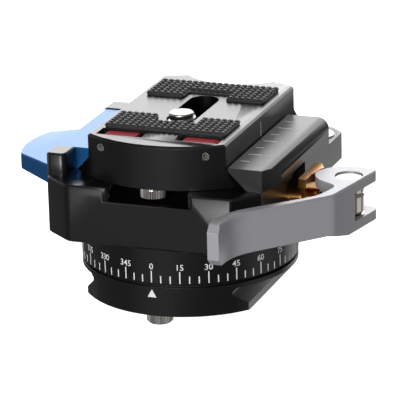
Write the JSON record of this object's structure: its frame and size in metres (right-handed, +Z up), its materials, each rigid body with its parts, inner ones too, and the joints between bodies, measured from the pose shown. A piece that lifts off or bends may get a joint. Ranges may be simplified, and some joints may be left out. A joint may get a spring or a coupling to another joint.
{
  "type": "panning clamp",
  "caption": "Dovetail clamp for camera plates on a panning foot with a degree dial, a cam lever, a spring release jaw, a bubble level and a sliding plate with rubber pads.",
  "frame": {"origin": "mouth of the tripod thread on the pan axis, at the foot's underside", "axes": "+Z up along the pan axis, +Y along the dovetail away from the dial's zero mark, +X towards the lever"},
  "size_m": [0.0818, 0.0755, 0.0435],
  "materials": {
    "black_anodised": "satin black anodised, fine bead-blasted",
    "jaw_anodised": "satin dark grey anodised",
    "lever_anodised": "satin grey anodised",
    "blue_anodised": "satin blue anodised",
    "stainless": "turned stainless steel",
    "black_steel": "black oxide steel",
    "spring_steel": "drawn spring wire",
    "brass": "polished brass",
    "bronze": "plain bearing bronze",
    "low_friction": "dark low-friction plastic",
    "rubber": "matte moulded rubber",
    "red_insert": "matte red",
    "vial_cup": "dark turned rim",
    "vial_lens": "clear green-tinted acrylic"
  },
  "bodies": {
    "base": {"pan_base": "black_anodised", "base_stop_screws": "black_steel", "pan_spindle": "stainless", "spindle_screws": "black_steel", "thrust_washer": "low_friction", "cap_bearing": "low_friction", "pan_cap": "stainless", "cap_screw": "black_steel"},
    "clamp": {"clamp_body": "black_anodised", "dial_ring": "black_anodised", "dial_ring_screws": "black_steel", "pan_bush": "bronze", "release_pin": "stainless", "release_spring": "spring_steel", "jaw_springs": "spring_steel", "draw_rod": "stainless"},
    "release_jaw": {"release_jaw": "blue_anodised"},
    "slide_jaw": {"slide_jaw": "jaw_anodised", "level_cup": "vial_cup", "level_vial": "vial_lens", "cam_saddle": "brass", "guide_pins": "stainless"},
    "cam_lever": {"cam_lever": "lever_anodised", "lever_pin": "stainless", "eye_washers": "stainless"},
    "plate": {"camera_plate": "black_anodised", "plate_stop_screws": "black_steel", "front_pad": "rubber", "rear_pad": "rubber", "flap_pins": "stainless"},
    "left_stop_flap": {"left_stop_flap": "red_insert"},
    "right_stop_flap": {"right_stop_flap": "red_insert"},
    "screw_carriage": {"screw_retainer": "black_steel"},
    "screw_washer": {"screw_washer": "low_friction"},
    "camera_screw": {"camera_screw": "stainless"},
    "lock_knob": {"lock_knob": "black_anodised", "lock_screw": "stainless", "lock_tip": "brass"}
  },
  "joints": [
    {"name": "pan", "type": "hinge", "parent": "base", "child": "clamp", "pos_m": [0, 0, 0.012], "axis": [0, 0, 1], "continuous": true},
    {"name": "release_tab", "type": "hinge", "parent": "clamp", "child": "release_jaw", "pos_m": [-0.0224, 0, 0.0256], "axis": [0, -1, 0], "range_deg": [0, 20], "stiffness_Nm_per_rad": 0.23, "springref_deg": -20.05},
    {"name": "cam_lever", "type": "hinge", "parent": "clamp", "child": "cam_lever", "pos_m": [0.0379, 0, 0.0222], "axis": [0, 0, 1], "range_deg": [0, 75]},
    {"name": "jaw_slide", "type": "slide", "parent": "clamp", "child": "slide_jaw", "axis": [1, 0, 0], "range_m": [0, 0.0015]},
    {"name": "plate_slide", "type": "slide", "parent": "clamp", "child": "plate", "axis": [0, 1, 0], "range_m": [-0.01, 0.01]},
    {"name": "left_flap", "type": "hinge", "parent": "plate", "child": "left_stop_flap", "pos_m": [-0.0122, -0.0165, 0.037], "axis": [0, -1, 0], "range_deg": [0, 90]},
    {"name": "right_flap", "type": "hinge", "parent": "plate", "child": "right_stop_flap", "pos_m": [0.0122, -0.0165, 0.037], "axis": [0, 1, 0], "range_deg": [0, 90]},
    {"name": "screw_slide", "type": "slide", "parent": "plate", "child": "screw_carriage", "axis": [0, 1, 0], "range_m": [0, 0.0143]},
    {"name": "screw_rise", "type": "slide", "parent": "screw_carriage", "child": "screw_washer", "axis": [0, 0, 1], "range_m": [0, 0.0039]},
    {"name": "screw_turn", "type": "hinge", "parent": "screw_washer", "child": "camera_screw", "pos_m": [0, -0.0032, 0.035], "axis": [0, 0, 1], "continuous": true},
    {"name": "lock_turn", "type": "hinge", "parent": "clamp", "child": "lock_knob", "pos_m": [0, 0.027, 0.0194], "axis": [0, -1, 0], "range_deg": [0, 180]}
  ],
  "couplings": [
    {"joint": "jaw_slide", "follows": "cam_lever", "m_per_rad": 0.0011458}
  ]
}
